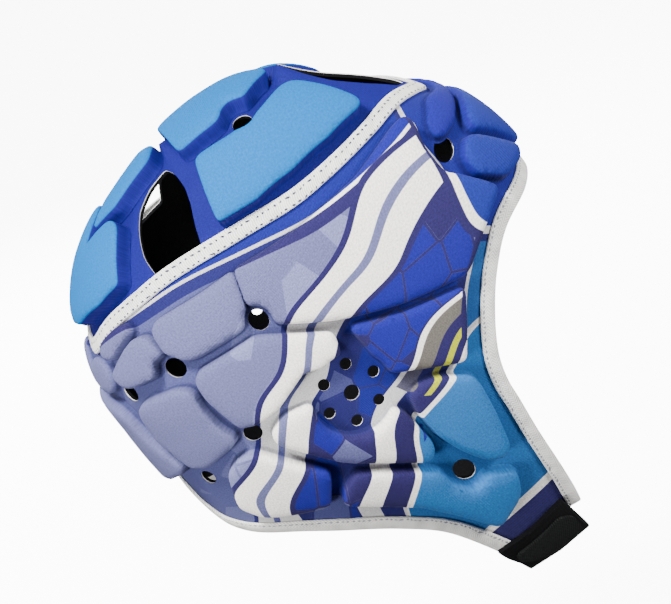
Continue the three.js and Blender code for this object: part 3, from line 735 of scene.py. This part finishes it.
# Foam pads. Closed-cell foam blocks with rounded shoulders under a stretched knit cover, one for
# each CAD pad. Their walls stand up from the grooves and their tops swell a little.
vent_margin = 2.6 * mm
ear_zone = 25 * mm
tape_clear = 5 * mm
pad_lattice = 3 * mm
wall_step = 1.3 * mm
# each wall as steps of (inset, height), and each top as (shoulder's rise, its width, swell), in mm
side_walls = ((-1.8, 0.2), (-1.2, 0.55), (-0.85, 1.7), (-0.6, 3.4), (-0.3, 5.2), (0.3, 6.6))
side_shoulder = (1.1, 1.1, 0.35)
low_pads = ("forehead_pad_top", "nape_pad_upper")  # thinner foam beside the ends of the tape
low_share = 0.62
low_walls = [(inset, height * low_share) for inset, height in side_walls]
crown_walls = ((-0.9, 0.3), (-0.5, 1.0), (-0.3, 3.4), (-0.1, 6.2), (0.15, 7.9), (0.7, 8.8))
crown_shoulder = (0.7, 1.0, 0.5)

crown_pads = {
    "crown_pad_front": both_halves(
        [(81.5, 0), (82, 0.03), (88.4, 0.165), (96, 0.215), (105.6, 0.215), (105.6, 0)]),
    "crown_pad_middle": both_halves([(108, 0), (111, 0.085), (124, 0.085), (131, 0)]),
    "crown_pad_rear": both_halves(
        [(134.5, 0), (126, 0.12), (126, 0.19), (129.4, 0.25), (136.6, 0.35), (143.5, 0.27),
         (150.6, 0.1), (151.6, 0)]),
    "crown_pad_right": [
        (78.6, 0.165), (66.2, 0.298), (66.6, 0.325), (75, 0.434), (85.6, 0.518), (97, 0.56),
        (109, 0.555), (105, 0.35), (103.8, 0.285), (94.5, 0.3), (87, 0.26), (81, 0.175)],
}
band_pads = {
    "forehead_pad_top": both_halves(
        [(47.9, 0), (48.7, 0.1), (51.6, 0.2), (51.6, 0.33), (49.6, 0.375), (47.2, 0.35),
         (45.8, 0.28), (45.3, 0.16), (45.3, 0)]),
    "forehead_pad_centre": both_halves(
        [(43.4, 0), (43.8, 0.16), (43.2, 0.25), (41.4, 0.275), (30, 0.13), (29, 0.07), (28.8, 0)]),
    "nape_pad_upper": both_halves(
        [(162, 0), (158, 0.13), (157.4, 0.24), (161, 0.29), (165, 0.27), (167, 0.18), (167.3, 0)]),
    "nape_pad_lower": both_halves(
        [(170, 0), (170, 0.24), (172, 0.29), (180, 0.37), (190, 0.49), (193, 0.47), (197, 0.26),
         (199.5, 0)]),
}
side_pads = {
    "brow_pad": [(0.845, 0.835), (0.94, 0.845), (1.09, 0.765), (1.22, 0.7), (1.16, 0.645),
                 (1.04, 0.62), (0.89, 0.7)],
    "temple_pad": [
        (-0.36, 0.79), (0.03, 0.862), (0.375, 0.938), (0.62, 1.035), (0.675, 1.045), (0.7, 0.99),
        (0.695, 0.905), (0.75, 0.77), (0.8, 0.745), (0.91, 0.665), (0.985, 0.605), (0.855, 0.48),
        (0.745, 0.345), (0.4, 0.37), (0.04, 0.43), (-0.27, 0.51), (-0.375, 0.6)],
    "cheekbone_pad": [(0.1, 0.37), (0.4, 0.32), (0.72, 0.3), (0.685, 0.12), (0.63, -0.065),
                      (0.505, -0.03), (0.24, 0.04)],
    "cheek_pad": [(0.31, -0.12), (0.375, -0.08), (0.462, -0.082), (0.63, -0.148),
                  (0.655, -0.215), (0.668, -0.38), (0.665, -0.565), (0.625, -0.607),
                  (0.55, -0.597), (0.46, -0.515), (0.38, -0.405), (0.315, -0.235)],
    "ear_pad": [(-0.5, -0.055), (-0.405, 0.03), (-0.2, 0.04), (0.16, -0.12), (0.25, -0.215),
                (0.335, -0.42), (0.333, -0.48), (0.285, -0.52), (-0.1, -0.385), (-0.2, -0.335),
                (-0.485, -0.125)],
    "side_pad_upper": [(-0.84, 0.605), (-0.8, 0.65), (-0.576, 0.716), (-0.36, 0.79),
                       (-0.39, 0.56), (-0.446, 0.521), (-0.71, 0.439), (-0.765, 0.45),
                       (-0.82, 0.48)],
    "side_pad_lower": [(-0.72, 0.375), (-0.39, 0.48), (-0.33, 0.465), (0, 0.375), (0, 0.2),
                       (-0.235, 0.225), (-0.43, 0.07), (-0.62, 0.005), (-0.68, 0.118),
                       (-0.735, 0.23), (-0.75, 0.325)],
    "back_pad_top": [(-1.19, 0.535), (-1.16, 0.6), (-1.08, 0.635), (-0.98, 0.672),
                     (-0.935, 0.655), (-0.95, 0.62), (-1.02, 0.575), (-1.12, 0.505)],
    "back_pad_upper": [(-1.17, 0.43), (-1.02, 0.545), (-0.95, 0.59), (-0.865, 0.6),
                       (-0.85, 0.56), (-0.825, 0.463), (-0.84, 0.411), (-1.08, 0.353),
                       (-1.12, 0.36)],
    "back_pad_lower": [(-1.09, 0.254), (-1, 0.283), (-0.848, 0.315), (-0.775, 0.295),
                       (-0.77, 0.19), (-0.73, 0.065), (-0.67, -0.022), (-0.7, -0.06),
                       (-0.882, -0.187), (-1, -0.192), (-1.13, 0.03), (-1.12, 0.2)],
    "jaw_pad_rear": [(-0.79, -0.25), (-0.72, -0.17), (-0.62, -0.131), (-0.25, -0.395),
                     (-0.285, -0.595), (-0.66, -0.58), (-0.79, -0.5)],
    "jaw_pad_front": [(-0.2, -0.535), (-0.12, -0.445), (0.32, -0.586), (0.36, -0.69),
                      (0.49, -0.668), (0.648, -0.683), (0.625, -0.8), (0.5, -0.93),
                      (0.364, -0.84), (0.175, -0.735), (-0.043, -0.665), (-0.215, -0.61)],
}

crown_holes = [(p, crown_hole_diameter / 2 + vent_margin)
               for p in on_crown([crown_hole, (crown_hole[0], -crown_hole[1])])]
side_bare = [*((p, vent_diameter / 2 + vent_margin) for p in on_side(side_holes)),
             (np.zeros(2), ear_zone)]
tape_line = resample(seam_line, 1 * mm, True)
tape_inward = inward(tape_line)
tape_right = tape_line[:, 1] > 0
tape_on_side = crown_to_side(tape_line[tape_right])
tape_on_side = tape_on_side[np.argsort(np.arctan2(tape_on_side[:, 1], tape_on_side[:, 0]))]
run = np.gradient(tape_on_side, axis=0)
tape_down = np.stack([-run[:, 1], run[:, 0]], axis=1) / np.linalg.norm(run, axis=1, keepdims=True)
tape_down *= -np.sign(np.sum(tape_down * tape_on_side, axis=1, keepdims=True))


def arc_between(start, end, centre, radius):
    """Points on a circle, clockwise from one place to another."""
    a, b = (math.atan2(p[1] - centre[1], p[0] - centre[0]) for p in (start, end))
    sweep = (a - b) % math.tau
    count = max(2, int(sweep * radius / mm))
    turns = a - sweep * np.arange(1, count) / count
    return list(centre + radius * np.stack([np.cos(turns), np.sin(turns)], axis=1))


def cut_round(points, centre, radius):
    """An outline, which runs anticlockwise, without the round place that it runs into."""
    inside = np.linalg.norm(points - centre, axis=1) < radius
    if inside.all() or not inside.any():
        return points
    first = int(np.argmin(inside))
    points, inside = np.roll(points, -first, axis=0), np.roll(inside, -first)
    kept = [points[0]]
    for i in range(1, len(points)):
        if inside[i]:
            continue
        if inside[i - 1]:
            kept.extend(arc_between(kept[-1], points[i], centre, radius))
        kept.append(points[i])
    if inside[-1]:
        kept.extend(arc_between(kept[-1], kept[0], centre, radius))
    return np.array(kept)


def beside_tape(points, line, away, least):
    """An outline kept to one side of the seam tape."""
    nearest = np.argmin(np.linalg.norm(points[:, None, :] - line[None, :, :], axis=2), axis=1)
    gap = np.sum((points - line[nearest]) * away[nearest], axis=1)
    return points + away[nearest] * np.clip(least - gap, 0, None)[:, None]


def dents(spot, size, seed):
    """A smooth random height from -1 to 1, for dents of this size."""
    return noise.noise(Vector((spot.x / size, spot.y / size, seed)))


def foam_pad(names, pattern, corners, bare, tape, away, walls, shoulder, finish, rounding):
    """One pad, and its mirror image where there are two names."""
    outline = beside_tape(rounded(corners, rounding), tape, away, tape_clear)
    for centre, radius in bare:
        outline = cut_round(outline, centre, radius)
    outline = resample(soften(resample(outline, 1 * mm, True), rounding), wall_step, True)
    bm = bmesh.new()
    ring, reached = outline, 0
    rings = []
    for inset, height in walls:
        ring = ring + inward(ring) * (inset - reached) * mm
        ring = soften(ring, 1) if inset > 0 else ring
        reached = inset
        loop = [bm.verts.new((x, y, height * mm)) for x, y in ring]
        rings.append([bm.edges.new((v, loop[(i + 1) % len(loop)])) for i, v in enumerate(loop)])
    for lower, upper in zip(rings, rings[1:]):
        bmesh.ops.bridge_loops(bm, edges=lower + upper)
    for edges in (rings[0], rings[-1]):
        bmesh.ops.triangle_fill(bm, use_beauty=True, use_dissolve=False, edges=edges)
    bmesh.ops.recalc_face_normals(bm, faces=bm.faces[:])
    lattice(bm, pad_lattice)
    flat = np.array([v.co[:] for v in bm.verts])
    top = flat[:, 2] > (walls[-1][1] - 0.01) * mm
    inside = distance_to(flat[:, :2], resample(ring, 0.3 * mm, True)) / mm
    rise, width, swell = shoulder
    swell_width = 9
    lift = rise * (1 - np.exp(-inside / width)) + swell * (1 - np.exp(-inside / swell_width))
    for vert, extra, is_top in zip(bm.verts, lift, top):
        if is_top:
            uneven = 0.22 * dents(vert.co, 20 * mm, 3.0) + 0.06 * dents(vert.co, 7 * mm, 7.0)
            vert.co.z += (extra + min(1, extra) * uneven) * mm
    for name, mirror in zip(names, (False, True)):
        piece = dress(bm.copy(), f"{name}_foam", pattern, [finish], name, mirror)
    bm.free()


def crown_cover():
    """Light blue tops that turn royal blue down the walls."""
    finish = Finish("crown_pad_knit", roughness=0.75)
    place, fore, rise = finish.flat_place("cloth")
    top_blue = finish.colour((0.0, 0.12, 0.365))
    cover = finish.colour(crown_blue).mix(top_blue, finish.noted("height").above(7.9, 0.8))
    finish.set("Base Color", finish.speckle(cover, place, 0.16))
    finish.knit(fore, rise, 0.9, 0.1 * mm)
    return finish.material


crown_knit = crown_cover()
for name, corners in crown_pads.items():
    names = ("crown_pad_right", "crown_pad_left") if name == "crown_pad_right" else (name,)
    foam_pad(names, crown_pattern, on_crown(corners), crown_holes, tape_line, tape_inward,
             crown_walls, crown_shoulder, crown_knit, 4)
for name, corners in band_pads.items():
    walls = low_walls if name in low_pads else side_walls
    foam_pad((name,), crown_pattern, on_crown(corners), (), tape_line, -tape_inward,
             walls, side_shoulder, print_cloth, 5)
for name, corners in side_pads.items():
    foam_pad((f"{name}_right", f"{name}_left"), side_pattern, on_side(corners), side_bare,
             tape_on_side, tape_down, side_walls, side_shoulder, print_cloth, 5)

# Seam tape. A white woven tape over the crown seam, folded under at both edges and sewn down with
# two rows of dark thread.
tape_width = 8 * mm


def strip(name, pattern, path, section, finishes, node, closed=False, halves=False, widths=1):
    """A cross section of [across, height] corners carried along a path, as one closed skin. Its
    width can change along the path by a list of shares."""
    section = np.array(section, float)
    stations = len(path)
    sides = len(section)
    run = np.r_[0, np.cumsum(np.linalg.norm(np.diff(
        lay(pattern, path[:, 0], path[:, 1], np.zeros(stations)), axis=0), axis=1))]
    rows = []
    for across, height in section:
        line = beside(pattern, path, across * widths, closed)
        rows.append(lay(pattern, line[:, 0], line[:, 1], np.full(stations, height)))
    grid = np.array(rows)
    if halves:
        other = grid[:, -2::-1].copy()
        grid[:, -1, 0] = 0
        other[:, :, 0] *= -1
        grid = np.concatenate([grid, other], axis=1)
        run = np.r_[run, 2 * run[-1] - run[-2::-1]]
        stations = len(run)
    girth = np.r_[0, np.cumsum(np.linalg.norm(np.diff(np.vstack([section, section[:1]]), axis=0),
                                              axis=1))]
    bm = bmesh.new()
    columns = stations + 1 if closed else stations
    bmesh.ops.create_grid(bm, x_segments=columns - 1, y_segments=sides, size=1)
    bm.verts.ensure_lookup_table()
    own = bm.loops.layers.uv.new("own")
    spots = {}
    for vert in bm.verts:
        i = int(round((vert.co.x + 1) / 2 * (columns - 1)))
        j = int(round((vert.co.y + 1) / 2 * sides))
        spots[vert] = (i, j)
        vert.co = grid[j % sides, i % stations]
    length = run[-1] + (np.linalg.norm(grid[0, 0] - grid[0, -1]) if closed else 0)
    for face in bm.faces:
        for loop in face.loops:
            i, j = spots[loop.vert]
            loop[own].uv = (length if i == stations else run[i], girth[j])
        face.smooth = True
    bmesh.ops.remove_doubles(bm, verts=bm.verts[:], dist=0.001 * mm)
    if not closed:
        bmesh.ops.holes_fill(bm, edges=[e for e in bm.edges if e.is_boundary], sides=0)
    bmesh.ops.recalc_face_normals(bm, faces=bm.faces[:])
    bmesh.ops.triangulate(bm, faces=[f for f in bm.faces if len(f.verts) > 4])
    mesh = bpy.data.meshes.new(name)
    bm.to_mesh(mesh)
    bm.free()
    mesh.set_sharp_from_angle(angle=math.radians(60))
    piece = bpy.data.objects.new(name, mesh)
    for finish in finishes:
        mesh.materials.append(finish)
    bpy.context.scene.collection.objects.link(piece)
    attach(piece, "root")
    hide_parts(node)
    return piece


def woven_white(name, rows, pitch, thread, rib, slant):
    """White herringbone tape with rows of stitches, at distances across it in millimetres."""
    finish = Finish(name, roughness=0.8, sheen=0.05)
    place, along, across = finish.flat_place("own")
    zigzag = across.math("PINGPONG", 2.1) * slant
    twill = ((along + zigzag) * (math.tau / rib)).math("SINE")
    uneven = finish.cloudy(place, 170.0, 1.0)
    # Painted shade: the twill's hollows are painted grey; random clouds also vary the tape's tone.
    hollow_shade, raised = finish.colour((0.52, 0.51, 0.49)), (0.92, 0.91, 0.88)
    stitch_flat, stitch_radius, stitch_soft = 0.7, 0.5, 0.25
    stitches = 0
    for row in rows:
        beat = abs((along / pitch + uneven * 1.3 + row).math("FRACT") - 0.5) * pitch
        off_row = across - row + (uneven - 0.5) * 1.5
        away = ((beat * stitch_flat) ** 2 + off_row ** 2) ** 0.5
        stitches = (1 - away.above(stitch_radius, stitch_soft)) + stitches
    stitches = stitches.math("MINIMUM", 1.0)
    weave = hollow_shade.mix(raised, twill * 0.45 + uneven + 0.1)
    finish.set("Base Color", weave.mix(thread, stitches))
    finish.bump(twill * 0.3 - stitches, 0.6, 0.3 * mm)
    return finish.material


half = tape_width / 2
tape_low, tape_high = 0.35 * mm, 1.7 * mm
tape_section = [
    (half, tape_low), (half, tape_high - 0.5 * mm), (half - 0.4 * mm, tape_high - 0.1 * mm),
    (half - 1 * mm, tape_high), (0, tape_high + 0.1 * mm), (-half + 1 * mm, tape_high),
    (-half + 0.4 * mm, tape_high - 0.1 * mm), (-half, tape_high - 0.5 * mm), (-half, tape_low),
]
tape_white = woven_white("seam_tape_white", rows=(3.6, 8.2), pitch=3.4, thread=(0.05, 0.05, 0.08),
                         rib=1.15, slant=0.2)
strip_step = 2.5 * mm
strip("seam_tape", crown_pattern, resample(seam_line, strip_step, True), tape_section,
      [tape_white], "crown_seam_tape", closed=True)

# Bindings. The same white tape, folded round the raw edges of the face and of the neck and sewn
# through with one row of grey thread.
binding_width = 8.5 * mm
fold_inside = 1 * mm
outer_low, outer_high = 0.45 * mm, 1.6 * mm
inner_high, inner_low = -2.9 * mm, -4.0 * mm


def binding_section(side):
    """A hook in section: over the outer face, round the raw edge and back along the lining."""
    w = binding_width
    corners = [
        (w, outer_low), (w, outer_high - 0.4 * mm), (w - 0.5 * mm, outer_high),
        (w / 2, outer_high + 0.1 * mm), (1.2 * mm, outer_high), (0.4 * mm, outer_high - 0.5 * mm),
        (0, 0), (-0.1 * mm, -1.2 * mm), (0, inner_low + 1.5 * mm),
        (0.4 * mm, inner_low + 0.4 * mm), (1.2 * mm, inner_low), (w, inner_low), (w, inner_high),
        (fold_inside, inner_high), (fold_inside, outer_low),
    ]
    return [(side * across, height) for across, height in corners]


binding_white = woven_white("binding_white", rows=(2.2,), pitch=2.6, thread=(0.25, 0.25, 0.28),
                            rib=1.5, slant=1.0)
for edge, path, side in (("face", face_path, 1), ("neck", neck_path, -1)):
    strip(f"{edge}_edge_binding", side_pattern, resample(path, strip_step, False),
          binding_section(side), [binding_white], f"{edge}_binding", halves=True)

# Chin strap. A black webbing band that runs under the chin from flap to flap and is a little
# narrower between its sewn ends, with a stitched tab of hook tape on each end.
strap_deg = -57.7
strap_end = 40 * mm
strap_width, strap_thick = 40 * mm, 2.5 * mm
strap_low = 2.4 * mm
strap_waist, sewn_length, waist_length = 0.11, 3 * mm, 13 * mm
strap_stations = 41


def webbing(name, thread, rib_highlight):
    """Black webbing with fine ribs along and across it."""
    finish = Finish(name, roughness=0.7)
    along, across = finish.flat_place("own")[1:]
    ribs = (along * (math.tau / 1.1)).math("SINE") * (across * (math.tau / 1.4)).math("SINE")
    # Painted highlight: the crests of the ribs take the lighter shine colour.
    finish.set("Base Color", finish.colour(thread).mix(rib_highlight, ribs * 0.5 + 0.5))
    finish.bump(ribs, 0.5, 0.2 * mm)
    return finish.material


def band_section(width, low, thick):
    w, high = width / 2, low + thick
    r = min(0.6 * mm, thick / 3)
    return [(-w, low + r), (-w + r, low), (0, low), (w - r, low), (w, low + r),
            (w, high - r), (w - r, high), (0, high), (-w + r, high), (-w, high - r)]


strap_black = webbing("strap_webbing", (0.003, 0.003, 0.0035), (0.011, 0.011, 0.012))
outs = np.linspace(strap_end, -strap_end, strap_stations)
strap_path = np.stack([np.full(strap_stations, strap_deg * degree_length), outs], axis=1)
from_end = np.clip((strap_end - sewn_length - np.abs(outs)) / waist_length, 0, 1)
strip("chin_strap_band", crown_pattern, strap_path,
      band_section(strap_width, strap_low, strap_thick), [strap_black], "chin_strap",
      widths=1 - strap_waist * from_end ** 2 * (3 - 2 * from_end))

tab_black = webbing("strap_tab_hook", (0.007, 0.0075, 0.0075), (0.019, 0.020, 0.020))
tab_corners = [(-14, 35.5), (12, 37), (15.5, 33), (13, 23), (3, 20.5), (-8, 25), (-14.5, 31)]
tab_low, tab_thick = strap_low + 2.9 * mm, 1.5 * mm
tab_outline = rounded(np.array(tab_corners) * mm + (strap_deg * degree_length, 0), 5)
for side, mirror in (("right", False), ("left", True)):
    bm = cut_flat([tab_outline], 2 * mm, tab_thick, tab_low + tab_thick, side_slot=0)
    dress(bm, f"strap_end_tab_{side}", crown_pattern, [tab_black, tab_black],
          f"strap_tab_{side}", mirror)

# Floor. A plain pale ground below the cap, as bright as the photographer's backdrop. It lights
# nothing, because the room does.
floor_glow = 9
floor_half, floor_below = 6, 0.12  # metres
bm = bmesh.new()
bmesh.ops.create_grid(bm, x_segments=1, y_segments=1, size=floor_half)
bmesh.ops.translate(bm, verts=bm.verts[:], vec=(0, 0, solid_box[0][2] - floor_below))
floor_mesh = bpy.data.meshes.new("floor")
bm.to_mesh(floor_mesh)
bm.free()
floor = bpy.data.objects.new("floor", floor_mesh)
bpy.context.scene.collection.objects.link(floor)
floor.visible_diffuse = False
floor.visible_glossy = False
ground = Finish("pale_ground", roughness=0.9)
ground.set("Base Color", (0.9, 0.9, 0.9))
ground.set("Emission Color", (1, 1, 1))
ground.set("Emission Strength", floor_glow)
floor_mesh.materials.append(ground.material)
